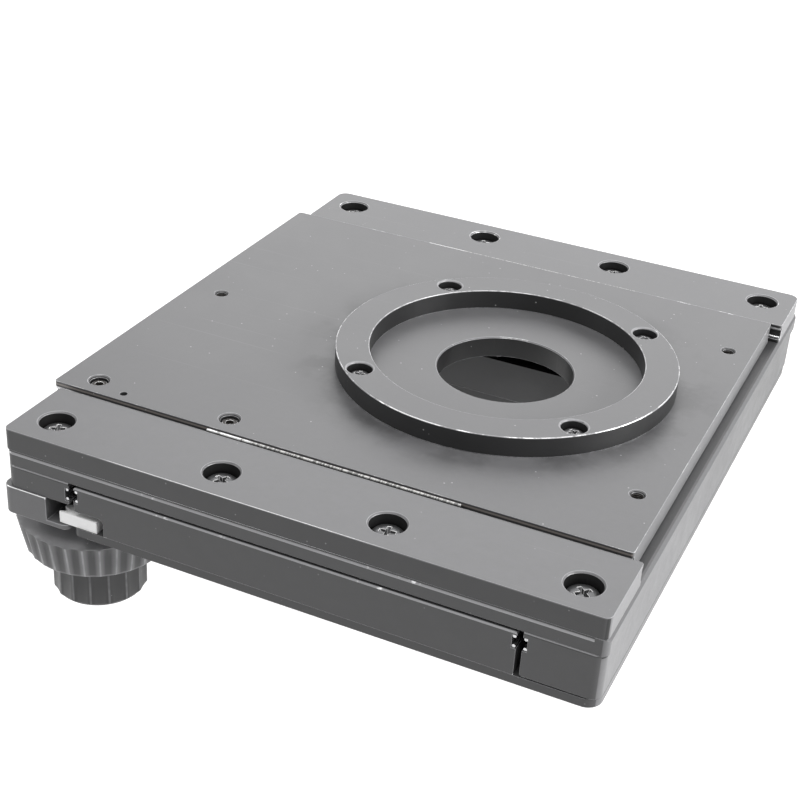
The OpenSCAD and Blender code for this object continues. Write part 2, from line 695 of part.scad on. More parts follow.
module bracket_screws() color(steel)
  for (y = bracket_screw_y) translate([bracket_screw_x, y, left_block_z + 3.6]) mirror([0, 0, 1])
    socket_screw(socket_head_d, socket_head_h, ring_shank_d, bracket_screw_l);

module shaft_bushing() color([0.7, 0.58, 0.3]) difference() {
  union() {
    translate([knob_x, knob_y, large_top - 1.7])
      cylinder(r = 7, h = bracket_z - large_top + 1.7, $fn = 48);
    translate([knob_x, knob_y, bracket_z - eps]) cylinder(r = bushing_r, h = flange_t + eps, $fn = 48);
  }
  translate([knob_x, knob_y, -20]) cylinder(r = outer_d / 2 + run_fit, h = 40, $fn = 48);
}

// ---- sliding top plate ----
module x_plate() color(grey) {
  d = pocket_a - x_gap / 2;
  difference() {
    translate([plate_dx, 0, z_plate]) linear_extrude(height = plate_t)
      round_rect(-hx, -plate_hy, hx, plate_hy, [0.8, 0.8, 0.8, 0.8]);
    for (s = [-1, 1]) translate([plate_dx - hx - 1, s * plate_hy - (s > 0 ? d : 1),
      x_guide_z - pocket_a]) cube([stage_l + 2, d + 1, 2 * pocket_a]);
    translate([ring_x, 0, z_plate - 1]) cylinder(d = plate_hole_d, h = plate_t + 2, $fn = fine);
    translate([ring_x, 0, z_plate_top - 0.3])
      cylinder(d1 = plate_hole_d, d2 = plate_hole_d + 1, h = 0.5, $fn = fine);
    for (a = [-1, 1], b = [-1, 1]) translate([ring_x + a * ring_a, b * ring_a, z_plate_top - 4.6])
      cylinder(d = ring_shank_d + 2 * shank_fit, h = 6, $fn = 32);
    for (p = accessory) {
      translate([p[0], p[1], z_plate - 1]) cylinder(r = tap_r, h = plate_t + 2, $fn = 32);
      translate([p[0], p[1], z_plate_top - tap_c])
        cylinder(r1 = tap_r, r2 = tap_r + tap_c + 0.1, h = tap_c + 0.1, $fn = 48);
    }
    for (x = rack_screw_x) translate([x, rack_screw_y, 0]) {
      translate([0, 0, z_plate - 1])
        cylinder(d = small_shank_d + 2 * shank_fit, h = plate_t + 2, $fn = 32);
      translate([0, 0, z_plate_top - rack_cb_depth])
        cylinder(d = rack_cb_d, h = rack_cb_depth + 1, $fn = 48);
      translate([0, 0, z_plate_top - 0.6])
        cylinder(d1 = rack_cb_d, d2 = rack_cb_d + 1.6, h = 0.8, $fn = 48);
    }
    translate([pin_x, pin_y, z_plate - 1]) cylinder(r = pin_r + shank_fit, h = plate_t + 2, $fn = 32);
  }
}

module specimen_ring() color(grey) difference() {
  translate([ring_x, 0, z_plate_top]) cylinder(d = ring_d, h = ring_h, $fn = fine);
  translate([ring_x, 0, z_plate_top - 1]) cylinder(d = ring_in_d, h = ring_h + 2, $fn = fine);
  for (a = [-1, 1], b = [-1, 1]) translate([ring_x + a * ring_a, b * ring_a, 0]) {
    translate([0, 0, z_plate_top - 1]) cylinder(d = ring_shank_d + 0.4, h = ring_h + 2, $fn = 32);
    translate([0, 0, ring_head_z]) cylinder(d = ring_cb_d, h = ring_cb_depth + 1, $fn = 48);
    translate([0, 0, z_ring - 0.3]) cylinder(d1 = ring_cb_d, d2 = ring_cb_d + 1, h = 0.5, $fn = 48);
  }
}

module ring_screws() color(steel)
  for (a = [-1, 1], b = [-1, 1]) translate([ring_x + a * ring_a, b * ring_a, z_plate_top - 4.2])
    rotate([0, 0, 31 * a + 17 * b])
    cross_screw(ring_head_d, ring_head_h, ring_shank_d, ring_head_z - z_plate_top + 4.2);

module x_rack() color(steel) difference() {
  translate([0, x_pitch_y, x_rack_z]) linear_extrude(height = z_plate - x_rack_z)
    rack_2d(x_rack_x0, x_rack_l, knob_x, x_rack_back);
  for (x = rack_screw_x) translate([x, rack_screw_y, z_plate - 3.2])
    cylinder(d = small_shank_d + 2 * shank_fit, h = 6, $fn = 32);
  translate([pin_x, pin_y, z_plate - pin_sink]) cylinder(r = pin_r + shank_fit, h = 6, $fn = 32);
}

module x_rack_screws() color(steel)
  for (x = rack_screw_x) translate([x, rack_screw_y, z_plate - 3])
    socket_screw(rack_head_d, rack_head_h, small_shank_d, z_plate_top - rack_cb_depth - z_plate + 3);

module rack_pin() color(steel)
  translate([pin_x, pin_y, z_plate - pin_sink])
    cylinder(r = pin_r, h = plate_t + pin_sink - 1.2, $fn = 32);

module plate_wires() color(steel) {
  wire_pair_x(plate_dx, -x_guide_y, 1, stage_l - 0.6);
  wire_pair_x(plate_dx, x_guide_y, -1, stage_l - 0.6);
}

// ---- cages ----
module front_cage() color(steel) cage_x(cage_dx, -x_guide_y);
module back_cage() color(steel) cage_x(cage_dx, x_guide_y);
module left_cage() color(steel) cage_y(-y_guide_x, 0);
module right_cage() color(steel) cage_y(y_guide_x, 0);
module front_balls() color(steel) balls_x(cage_dx, -x_guide_y);
module back_balls() color(steel) balls_x(cage_dx, x_guide_y);
module left_balls() color(steel) balls_y(-y_guide_x, 0);
module right_balls() color(steel) balls_y(y_guide_x, 0);

// ---- knobs ----
module large_knob() color(grey) translate([knob_x, knob_y, 0]) difference() {
  rotate_extrude($fn = fine) polygon([[0, large_bot], [large_r3 - knob_c, large_bot],
    [large_r3, large_bot + knob_c], [large_r2, large_bot + large_rim],
    [large_r2 - 0.9, large_top - large_band + 1.1], [large_r2 - 3.4, large_top - 2.9], [large_r1 + 2.2,
      large_top - 0.8],
    [large_r1, large_top], [0, large_top]]);
  translate([0, 0, large_top - 2.2]) cylinder(r = 8, h = 4, $fn = 48);
  translate([0, 0, large_bot - 1]) cylinder(r = outer_d / 2, h = 40, $fn = 48);
  for (i = [0 : large_flutes - 1]) rotate([0, 0, i * 360 / large_flutes])
    translate([large_mid + large_cut, 0, large_bot + large_rim / 2])
      rotate([0, large_lean, 0]) cylinder(r = large_cut, h = large_rim + 4, center = true, $fn = 32);
  translate([0, 0, large_bot + 4]) rotate([0, 90, set_screw_turn])
    cylinder(d = set_screw_d, h = 40, $fn = 32);
}

module outer_shaft() color(steel) translate([knob_x, knob_y, 0]) difference() {
  translate([0, 0, large_bot + 0.4]) cylinder(d = outer_d, h = 6.6 - large_bot - 0.4, $fn = 48);
  translate([0, 0, large_bot - 1]) cylinder(r = inner_d / 2 + run_fit, h = 60, $fn = 48);
}

module y_pinion() color(steel) translate([knob_x, knob_y, y_pinion_z])
  linear_extrude(height = y_pinion_h) difference() {
  rotate([0, 0, 180 / y_teeth]) pinion_2d(y_teeth);
  circle(d = outer_d, $fn = 48);
}

module large_knob_screw() color(steel) translate([knob_x, knob_y, large_bot + 4])
  rotate([0, 90, set_screw_turn]) difference() {
  translate([0, 0, outer_d / 2]) cylinder(d = set_screw_d, h = set_screw_l, $fn = 32);
  translate([0, 0, outer_d / 2 + set_screw_l * 0.66])
    cylinder(d = set_screw_d * 0.56, h = set_screw_l, $fn = 6);
}

module small_knob() color(grey) translate([knob_x, knob_y, 0]) difference() {
  rotate_extrude($fn = fine) polygon([[0, small_bot], [small_r - knob_c, small_bot], [small_r,
    small_bot + knob_c],
    [small_r, small_top], [0, small_top]]);
  translate([0, 0, small_bot + 2.5]) cylinder(d = inner_d, h = 40, $fn = 48);
  translate([0, 0, small_bot - 1]) cylinder(r = cap_r, h = cap_h + 1.2, $fn = 48);
  for (i = [0 : small_flutes - 1]) rotate([0, 0, (i + 0.5) * 360 / small_flutes])
    translate([small_r + small_cut - small_depth, 0, small_bot - 1])
      cylinder(r = small_cut, h = small_h + 2, $fn = 48);
  translate([0, 0, small_bot + 6]) rotate([0, 90, set_screw_turn])
    cylinder(d = set_screw_d, h = 40, $fn = 32);
}

module inner_shaft() color(steel)
  translate([knob_x, knob_y, small_bot + 2.5])
    cylinder(d = inner_d, h = z_mid_top + shaft_seat - 0.2 - small_bot - 2.5, $fn = 48);

module x_pinion() color(steel) translate([knob_x, knob_y, x_pinion_z]) rotate([0, 0, 90])
  linear_extrude(height = x_pinion_h) difference() {
  pinion_2d(x_teeth);
  circle(d = inner_d, $fn = 48);
}

module small_knob_screw() color(steel) translate([knob_x, knob_y, small_bot + 6])
  rotate([0, 90, set_screw_turn]) difference() {
  translate([0, 0, inner_d / 2]) cylinder(d = set_screw_d, h = set_screw_l, $fn = 32);
  translate([0, 0, inner_d / 2 + set_screw_l * 0.66])
    cylinder(d = set_screw_d * 0.56, h = set_screw_l, $fn = 6);
}

module knob_washer() color([0.85, 0.85, 0.82]) translate([knob_x, knob_y, small_top]) difference() {
  cylinder(r = washer_r, h = washer_t, $fn = 48);
  translate([0, 0, -1]) cylinder(r = inner_d / 2, h = washer_t + 2, $fn = 48);
}

module end_cap() color(dark) translate([knob_x, knob_y, small_bot + 0.2])
  cylinder(r = cap_r, h = cap_h, $fn = 48);

base_slab();
bottom_plate();
bottom_plate_screws();
y_rack();
y_rack_screws();
base_wires();
middle_plate();
left_block();
right_block();
block_screws();
front_rail();
back_rail();
rail_screws();
block_wires();
rail_wires();
knob_bracket();
bracket_screws();
shaft_bushing();
x_plate();
specimen_ring();
ring_screws();
x_rack();
x_rack_screws();
rack_pin();
plate_wires();
front_cage();
front_balls();
back_cage();
back_balls();
left_cage();
left_balls();
right_cage();
right_balls();
large_knob();
outer_shaft();
y_pinion();
large_knob_screw();
small_knob();
inner_shaft();
x_pinion();
small_knob_screw();
knob_washer();
end_cap();
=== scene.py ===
# %% [markdown]
# # A mechanical microscope stage
# The stage is a flat stack of anodised aluminium plates. The top plate carries a ring and slides
# between two rails, the rails' carriage slides on a base, and two fluted knobs hang under a corner.
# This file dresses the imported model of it: plates get broken, worn edges, the screws and knobs are
# modelled as a machinist would turn them, and each surface gets a finish of its own.

# %% Load the frame
import bpy
import json
import math
from mathutils import Matrix, Vector

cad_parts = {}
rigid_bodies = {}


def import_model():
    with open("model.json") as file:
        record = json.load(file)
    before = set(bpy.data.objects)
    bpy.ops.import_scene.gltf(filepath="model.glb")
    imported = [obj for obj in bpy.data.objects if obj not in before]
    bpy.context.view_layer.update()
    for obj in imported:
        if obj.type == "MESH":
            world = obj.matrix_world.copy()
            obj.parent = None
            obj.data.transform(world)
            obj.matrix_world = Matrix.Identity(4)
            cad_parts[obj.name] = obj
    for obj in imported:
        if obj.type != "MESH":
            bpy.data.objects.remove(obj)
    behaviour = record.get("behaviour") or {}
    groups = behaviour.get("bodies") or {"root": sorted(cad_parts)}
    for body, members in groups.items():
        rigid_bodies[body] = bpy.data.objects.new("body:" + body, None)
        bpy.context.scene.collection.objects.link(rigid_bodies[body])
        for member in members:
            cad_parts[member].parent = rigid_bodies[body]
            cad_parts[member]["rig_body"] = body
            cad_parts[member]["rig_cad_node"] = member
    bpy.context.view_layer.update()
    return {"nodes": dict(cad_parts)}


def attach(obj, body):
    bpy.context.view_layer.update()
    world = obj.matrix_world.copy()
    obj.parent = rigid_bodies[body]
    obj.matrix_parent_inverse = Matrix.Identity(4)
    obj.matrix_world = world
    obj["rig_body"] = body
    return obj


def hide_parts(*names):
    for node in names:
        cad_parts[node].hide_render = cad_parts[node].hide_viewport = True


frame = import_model()
nodes = frame["nodes"]
MM = 0.001
# The upright axis of both knobs, and how their flutes are spaced
knob_axis = (-69.0 * MM, -72.1 * MM)
LARGE_FLUTES = 30
SMALL_FLUTES = 16
SMALL_PHASE = math.radians(11.25)
# The ring's middle lies right of the stage's
RING_X = 18.35 * MM

# %% [markdown]
# The camera comes first. Its place and lens were solved from the ring's ellipse, the screw holes
# and the corners of the rails, so the render can be laid over the photograph.

# %% Camera
right = Vector((0.90417823, 0.42365811, 0.05454844))
down = Vector((0.25107469, -0.42379638, -0.87026325))
forward = Vector((-0.34557665, 0.80056882, -0.48955729))
eye = Vector((141.297, -357.308, 225.878)) * MM
bpy.ops.object.camera_add(location=eye)
camera = bpy.context.object
camera.name = "camera"
turned_to_view = Matrix((right, -down, -forward)).transposed().to_4x4()
camera.matrix_world = Matrix.Translation(eye) @ turned_to_view
camera.data.lens = 68.83
camera.data.sensor_width = 36
camera.data.clip_start = 0.01
bpy.context.scene.camera = camera
bpy.context.scene.view_settings.view_transform = "Standard"
print("lens", camera.data.lens, "mm, eye at", [round(v, 3) for v in eye])

# %% [markdown]
# Materials are written as sums. A small class holds one socket of a shader and turns + - * into
# Math nodes, so that a mask reads like the formula that it is. Colours go through Mix nodes.


# %% Shader arithmetic
class Value:
    """One output of a node, used like a number."""

    def __init__(self, paint, socket):
        self.paint = paint
        self.socket = socket

    def math(self, operation, other):
        return self.paint.node("ShaderNodeMath", {"operation": operation}, {0: self, 1: other})

    def __add__(self, other):
        return self.math("ADD", other)

    def __sub__(self, other):
        return self.math("SUBTRACT", other)

    def __mul__(self, other):
        return self.math("MULTIPLY", other)


class Paint:
    """A material under construction."""

    def __init__(self, name):
        self.material = bpy.data.materials.new(name)
        self.material.use_nodes = True
        self.tree = self.material.node_tree
        self.tree.nodes.clear()
        self.out = self.tree.nodes.new("ShaderNodeOutputMaterial")
        self.place = self.node("ShaderNodeTexCoord", {}, {}, "Object")

    def node(self, kind, settings, sockets, out=0):
        made = self.tree.nodes.new(kind)
        for key, value in settings.items():
            setattr(made, key, value)
        for key, value in sockets.items():
            if isinstance(value, Value):
                self.tree.links.new(value.socket, made.inputs[key])
            elif value is not None:
                made.inputs[key].default_value = value
        return Value(self, made.outputs[out])

    def moved(self, scale, turn=0.0, shift=(0.0, 0.0, 0.0)):
        sockets = {"Vector": self.place, "Scale": scale, "Rotation": (0, 0, turn), "Location": shift}
        return self.node("ShaderNodeMapping", {}, sockets)

    def noise(self, scale, detail=2.0, where=None, rough=0.5):
        sockets = {"Vector": where or self.place, "Scale": scale, "Detail": detail, "Roughness": rough}
        return self.node("ShaderNodeTexNoise", {}, sockets)

    def step(self, value, low, high, to_low=0.0, to_high=1.0):
        """Goes from to_low at low to to_high at high and stays there; low may be the larger one."""
        sockets = {"Value": value, "From Min": low, "From Max": high, "To Min": to_low, "To Max": to_high}
        return self.node("ShaderNodeMapRange", {"clamp": True}, sockets)

    def mix(self, factor, first, second):
        first = first if isinstance(first, Value) else (*first, 1)
        second = second if isinstance(second, Value) else (*second, 1)
        return self.node("ShaderNodeMix", {"data_type": "RGBA"}, {0: factor, 6: first, 7: second}, 2)

    def bump(self, height, strength, distance):
        sockets = {"Height": height, "Strength": strength, "Distance": distance}
        return self.node("ShaderNodeBump", {}, sockets)

    def finish(self, sockets):
        shader = self.node("ShaderNodeBsdfPrincipled", {}, sockets)
        self.tree.links.new(shader.socket, self.out.inputs["Surface"])
        return self.material


print("shader arithmetic ready")

# %% [markdown]
# Anodised aluminium looks even from afar and busy up close: a fine blasted grain, clouds where
# fingers have been, hairline scratches and specks of dust. The grain goes into bump, the clouds
# into colour and roughness, and the scratches and specks are thin light masks.


# %% Anodised aluminium
def grey(level):
    return (level, level, level * 1.03)


def scratch_mask(paint, turn, lines, shift):
    where = paint.moved((9, lines, 30), turn, (shift, shift, 0))
    streak = paint.noise(1.0, 2.0, where, 0.4)
    gate = paint.noise(17.0, 1.0, paint.moved((1, 1, 1), turn, (shift * 3, 0, 0)))
    return paint.step(streak, 0.705, 0.74) * paint.step(gate, 0.5, 0.62)


def dust_mask(paint, per_metre, share, size):
    sockets = {"Vector": paint.place, "Scale": per_metre}
    cell = paint.node("ShaderNodeTexVoronoi", {}, sockets, "Distance")
    tint = paint.node("ShaderNodeTexVoronoi", {}, sockets, "Color")
    draw = paint.node("ShaderNodeSeparateColor", {}, {"Color": tint}, 0)
    return paint.step(cell, size, size * 0.6) * paint.step(draw, 1 - share, 1 - share + 0.01)


def anodised(name, level, rough=0.42, extra=None, dusty=1.0):
    """Extra paints by place on top of the even layer; dusty is the amount of dust."""
    paint = Paint(name)
    clouds = paint.noise(22.0, 4.0, None, 0.55)
    mottle = paint.noise(210.0, 3.0, None, 0.6)
    grain = paint.noise(5200.0, 2.0)
    tone = clouds * 0.6 + mottle * 0.4
    base = paint.mix(paint.step(tone, 0.36, 0.64), grey(level * 0.9), grey(level * 1.1))
    base = paint.mix(paint.step(grain, 0.35, 0.7, 0.0, 0.12), base, grey(level * 1.5))
    scratches = scratch_mask(paint, 0.5, 1500, 3.1) + scratch_mask(paint, -0.9, 1300, 7.7)
    dust = dust_mask(paint, 620, 0.05, 0.16) + dust_mask(paint, 240, 0.05, 0.07)
    if extra:
        base = extra(paint, base)
    marks = paint.step(scratches * 0.05 + dust * 0.55 * dusty, 0.0, 1.0)
    base = paint.mix(marks, base, (0.62, 0.62, 0.62))
    sheen = paint.step(tone, 0.35, 0.65, rough - 0.05, rough + 0.06) + grain * 0.04
    height = grain + mottle * 0.3 - scratches * 0.25 + dust * 1.5 * dusty
    normal = paint.bump(height, 0.25, 0.00003)
    sockets = {"Base Color": base, "Roughness": sheen, "Metallic": 0.1, "Normal": normal}
    return paint.finish(sockets)


print("anodised recipe ready")

# %% [markdown]
# Some things are painted by place, much of it light and shade. The sides of the top plate, deck
# and ring are painted in shade below their tops, and the right end faces are painted light. The
# joints between the base's plates are painted shadow lines at the right, a painted shadow with dark
# smears lies round the ring, and the ridges between a knob's flutes are painted highlights, lighter
# than the valleys, which are painted in shade.


# %% Rubbed places
def axis_place(paint, axis):
    return paint.node("ShaderNodeSeparateXYZ", {}, {"Vector": paint.place}, axis)


def band(paint, value, low, low_full, high_full, high):
    """1 from low_full to high_full, fading to 0 at low and high, all in millimetres."""
    return paint.step(value, low * MM, low_full * MM) * paint.step(value, high * MM, high_full * MM)


def side_shade_and_end_light(top, right_end, front, outer, inner):
    """Paints shade on the sides below a plate's top, darkest inside, but not on the right end
    face; right of x 80.3 mm it paints a light grey, as light on the right end faces.
    """
    def paint_side_shade(paint, base):
        below = paint.step(axis_place(paint, 2), (top - 0.25) * MM, (top - 0.35) * MM)
        along = axis_place(paint, 0)
        here = below * paint.step(along, (right_end - 0.2) * MM, (right_end - 0.3) * MM)
        across = axis_place(paint, 1).math("ABSOLUTE", 0.0)
        inside = paint.step(across, (front - 0.2) * MM, (front - 0.3) * MM)
        # Right of x 80.3 mm the colour is painted a light grey: painted light on the right end faces.
        base = paint.mix(paint.step(along, 80.3 * MM, 80.4 * MM), base, grey(0.18))
        return paint.mix(here, base, paint.mix(inside, grey(outer), grey(inner)))

    return paint_side_shade


def body_light_and_shade(paint, base):
    """Painted light and shade: the right end faces are painted light, more at the front, the slab's
    top is painted in shade, and shadow lines are painted at the right; the bottom plate is darker.
    """
    across = axis_place(paint, 0)
    height = axis_place(paint, 2)
    # Painted shade on the slab's top, 14.6 to 14.8 mm up, in the gap under the carriage.
    bearing_shade = band(paint, height, 14.6, 14.64, 14.7, 14.8)
    base = paint.mix(bearing_shade, base, grey(0.012))
    base = paint.mix(paint.step(height, 2.5 * MM, 2.3 * MM) * 0.5, base, grey(0.03))
    # The right end faces are painted light, lighter at the front than at the back.
    right = paint.step(across, 79.4 * MM, 79.6 * MM)
    lit_ends = paint.mix(paint.step(axis_place(paint, 1), -90 * MM, 60 * MM), grey(0.17), grey(0.09))
    lit_ends = paint.mix(paint.noise(900.0) * 0.4, lit_ends, grey(0.06))
    base = paint.mix(right, base, lit_ends)
    # Painted shadow lines at the right: under the block's overhang and at the bottom plate's end.
    joint_shadow = band(paint, height, 14.2, 14.3, 14.7, 14.8)
    foot_shadow = band(paint, height, 2.0, 2.1, 2.8, 2.9)
    return paint.mix(right * (joint_shadow + foot_shadow), base, grey(0.012))


def from_ring(paint):
    """Distance from the middle of the specimen ring, seen from above."""
    x = axis_place(paint, 0) - RING_X
    y = axis_place(paint, 1)
    return (x * x + y * y).math("POWER", 0.5)


def plate_smears_and_shade(paint, base):
    """The top plate: sides painted in shade with a pale line at the guides, and dark smears round the
    ring that also paint its shadow on the plate.
    """
    # A painted shadow round the ring's base on the plate, broken up by dark smears.
    smears = paint.step(paint.noise(70.0, 4.0, None, 0.6), 0.44, 0.6)
    near = paint.step(from_ring(paint), 0.062, 0.0475) * smears
    near = near * paint.step(from_ring(paint), 0.0465, 0.0475)
    base = paint.mix(near * 0.55, base, grey(0.05))
    base = side_shade_and_end_light(26.5, 77.5, 68.6, 0.06, 0.015)(paint, base)
    side = paint.step(axis_place(paint, 1).math("ABSOLUTE", 0.0), 0.0684, 0.0685)
    height = axis_place(paint, 2)
    line = band(paint, height, 25.35, 25.45, 25.85, 25.95)
    return paint.mix(side * line * 0.8, base, (0.3, 0.27, 0.25))


def flute_highlight_and_shade(flutes, phase, strength, top, rim):
    """Below the height top, painted highlights on the ridges and painted shade in the valleys, and a
    rubbed lip below the height rim.
    """
    def paint_flute_light(paint, base):
        x = axis_place(paint, 0) - knob_axis[0]
        y = axis_place(paint, 1) - knob_axis[1]
        wave = ((y.math("ARCTAN2", x) - phase) * flutes).math("COSINE", 0.0)
        patchy = paint.step(paint.noise(300.0, 2.0), 0.3, 0.7, 0.4, 1.0)
        fluted = paint.step(axis_place(paint, 2), (top + 0.1) * MM, (top - 0.1) * MM)
        # Painted shade in the valleys between the flutes.
        base = paint.mix(paint.step(wave, -0.75, 0.5) * fluted * 0.8, base, grey(0.03))
        lip = paint.step(axis_place(paint, 2), (rim + 0.1) * MM, (rim - 0.1) * MM)
        base = paint.mix(lip * patchy * 0.4, base, grey(0.3))
        # Painted highlights on the ridges, patchy.
        ridge_highlight = paint.step(wave, -0.88, -0.99)
        return paint.mix(ridge_highlight * patchy * fluted * strength, base, grey(0.5))

    return paint_flute_light


# The base's plates: dark, with painted light on the right end faces and painted shade and shadows.
body_lit_and_shaded = anodised("anodised_body_painted_light_shade", 0.058, extra=body_light_and_shade, dusty=0.25)
bracket_finish = anodised("anodised_bracket", 0.125, dusty=0.2)
# Deck, top plate and ring: painted lighter than the base as light on their tops, sides in shade.
deck_side_shade = side_shade_and_end_light(25.8, 80.5, 94.3, 0.045, 0.012)
deck_lit_and_shaded = anodised("anodised_deck_painted_light_shade", 0.16, extra=deck_side_shade, dusty=0.4)
ring_side_shade = side_shade_and_end_light(32.3, 200.0, 200.0, 0.018, 0.018)
ring_lit_and_shaded = anodised("anodised_ring_painted_light_shade", 0.138, 0.4, ring_side_shade)
plate_lit_and_shaded = anodised("anodised_plate_painted_light_shade", 0.138, 0.4, plate_smears_and_shade)
# The large knob: painted highlights on the ridges and painted shade in the valleys.
large_flute_light = flute_highlight_and_shade(LARGE_FLUTES, 0.0, 0.6, -6.6, -15.8)
large_knob_lit_and_shaded = anodised("anodised_large_knob_painted_light_shade", 0.16, 0.4, large_flute_light, 0.4)
# The small knob: painted darker than the large one, as shade under the stage, with painted highlights and
# shade on its flutes.
small_flute_light = flute_highlight_and_shade(SMALL_FLUTES, SMALL_PHASE, 0.3, -17.5, -30.3)
small_knob_lit_and_shaded = anodised("anodised_small_knob_painted_light_shade", 0.03, 0.4, small_flute_light, 0.4)
cap_finish = anodised("anodised_cap", 0.08, 0.38)
print("anodised finishes:", [m.name for m in bpy.data.materials])

# %% [markdown]
# On a used stage the thin black layer is gone along the edges, and the bare metal glints. The bevel
# faces of every plate get this second material, where noise decides how much of the layer is left.
# The sloping faces of the base's and carriage's plates take it too.


# %% Worn edges
def worn_edge(name, level, wear, where=None, after=None):
    """Where limits the bare metal to a place, and after shades the colour by place."""
    paint = Paint(name)
    rub = paint.noise(420.0, 3.0, None, 0.65) * 0.55 + paint.noise(60.0, 2.0) * 0.45
    bare = paint.step(rub, 0.62 - wear * 0.3, 0.7 - wear * 0.3)
    if where:
        bare = bare * where(paint)
    colour = paint.mix(bare, grey(level), (0.82, 0.82, 0.83))
    if after:
        colour = after(paint, colour)
    metal = paint.step(bare, 0.0, 1.0, 0.2, 0.9)
    rough = paint.step(bare, 0.0, 1.0, 0.42, 0.3)
    normal = paint.bump(rub, 0.3, 0.00005)
    sockets = {"Base Color": colour, "Metallic": metal, "Roughness": rough, "Normal": normal}
    return paint.finish(sockets)


def front_lip(paint):
    """The front top edge of the front rail, where hands have rubbed it bright."""
    lip = paint.step(axis_place(paint, 1), -0.0937, -0.0939)
    ragged = axis_place(paint, 0) + paint.noise(150.0, 3.0) * 0.02
    return lip * paint.step(ragged, -0.046, -0.036) * paint.step(ragged, 0.042, 0.022)


def bracket_ledge(paint):
    """The bracket's top edge at the front is rubbed bright."""
    top = paint.step(axis_place(paint, 2), 8.3 * MM, 8.4 * MM)
    return top * paint.step(axis_place(paint, 1), -94.2 * MM, -94.4 * MM)


def slab_shade(paint, colour):
    """Paints shade on the upper part of the slab's chamfer, in the gap above it, and shadow lines at
    the right; right-hand edges are duller.
    """
    height = axis_place(paint, 2)
    seam_shade = band(paint, height, 14.38, 14.44, 14.9, 14.95)
    colour = paint.mix(seam_shade, colour, grey(0.01))
    right = paint.step(axis_place(paint, 0), 79.6 * MM, 79.9 * MM)
    colour = paint.mix(right * 0.8, colour, grey(0.1))
    # Painted shadow lines at the right: the block's top chamfer under the overhang, and the bottom.
    joint_shadow = band(paint, height, 14.85, 14.9, 15.4, 15.45)
    foot_shadow = paint.step(height, 2.75 * MM, 2.7 * MM)
    return paint.mix(right * (joint_shadow + foot_shadow), colour, grey(0.012))


def ring_rims(paint):
    """The ring's outer and inner edges, but not the mouths of its screw holes."""
    away = from_ring(paint)
    outer = paint.step(away, 0.0468, 0.047)
    inner = paint.step(away, 0.0386, 0.0384)
    return outer + inner * 0.5


# Edges of the base's plates: wear, with painted shade and shadow lines from slab_shade.
body_edge_wear_and_shade = worn_edge("worn_body_edge_painted_shade", 0.3, 0.05, None, slab_shade)
bracket_edge = worn_edge("worn_bracket_edge", 0.25, 0.9, bracket_ledge)
deck_edge = worn_edge("worn_deck_edge", 0.36, 0.3)
ring_edge = worn_edge("worn_ring_edge", 0.3, 0.6, ring_rims)
rail_edge = worn_edge("worn_rail_edge", 0.3, 1.0, front_lip)
print("worn edges:", [m.name for m in (body_edge_wear_and_shade, bracket_edge, deck_edge, ring_edge, rail_edge)])

# %% [markdown]
# Steel parts are ground, drawn or turned. One recipe does for all, with its own grey, roughness and
# length of the tool marks; brass and the plastic washer only change the colour.


# %% Steel, brass and plastic
def machined(name, colour, rough, metal, marks, deep=0.55):
    """Marks is how fine the tool marks are along each axis; deep is how dark the stains are."""
    paint = Paint(name)
    lines = paint.noise(1.0, 3.0, paint.moved(marks), 0.6)
    patches = paint.noise(260.0, 3.0, None, 0.6)
    stain = paint.step(patches, 0.56, 0.72)
    dark = tuple(c * deep for c in colour)
    base = paint.mix(stain * 0.5 + lines * 0.25, colour, dark)
    shine = paint.step(lines, 0.3, 0.7, rough - 0.06, rough + 0.1) + stain * 0.12
    normal = paint.bump(lines, 0.2, 0.00004)
    sockets = {"Base Color": base, "Roughness": shine, "Metallic": metal, "Normal": normal}
    return paint.finish(sockets)


steel_finish = machined("machined_steel", (0.62, 0.62, 0.63), 0.3, 1.0, (2500, 2500, 60))
screw_finish = machined("screw_steel", (0.15, 0.15, 0.155), 0.34, 0.7, (900, 900, 900))
# The screw heads' bevels are painted near white: a painted glint.
painted_glint_finish = machined("screw_edge_painted_glint", (0.95, 0.95, 0.95), 0.3, 0.5, (900, 900, 900))
black_finish = machined("black_oxide", (0.05, 0.045, 0.042), 0.4, 0.5, (900, 900, 900))
# The steel rack's end is painted pure white: a painted reflection.
rack_painted_white = machined("rack_end_painted_reflection", (1.0, 1.0, 1.0), 0.35, 0.0, (300, 300, 300), 0.93)


def cage_strip():
    """A pale strip, hatched across, with a white patch near its left end and shade below the rails."""
    paint = Paint("cage_strip")
    hatch = paint.noise(1.0, 2.0, paint.moved((2600, 60, 60)), 0.4)
    ragged = axis_place(paint, 0) + paint.noise(700.0, 2.0) * 0.003
    white = paint.step(ragged, -0.0205, -0.0225)
    hatch = paint.step(hatch, 0.4, 0.6)
    base = paint.mix(hatch, (0.2, 0.2, 0.2), (0.66, 0.65, 0.64))
    base = paint.mix(white * paint.step(paint.noise(500.0, 3.0), 0.32, 0.38), base, (0.97, 0.97, 0.97))
    shade = paint.step(axis_place(paint, 2), 0.02585, 0.0257)
    base = paint.mix(shade, base, (0.02, 0.02, 0.02))
    normal = paint.bump(hatch, 0.2, 0.00004)
    sockets = {"Base Color": base, "Roughness": 0.5, "Metallic": 0.1, "Normal": normal}
    return paint.finish(sockets)


cage_finish = cage_strip()
ball_finish = machined("ball_steel", (0.75, 0.75, 0.75), 0.12, 1.0, (500, 500, 500))
brass_finish = machined("turned_brass", (0.62, 0.45, 0.2), 0.3, 1.0, (1500, 1500, 60))
washer_finish = machined("washer_plastic", (0.8, 0.8, 0.76), 0.5, 0.0, (700, 700, 700))
print("metals and plastic ready")

# %% [markdown]
# Every plate starts as a copy of its CAD node. The copy's loose triangles are merged, faces that lie
# in one plane are joined, and a Bevel modifier breaks the edges. The bevel faces take material 2.


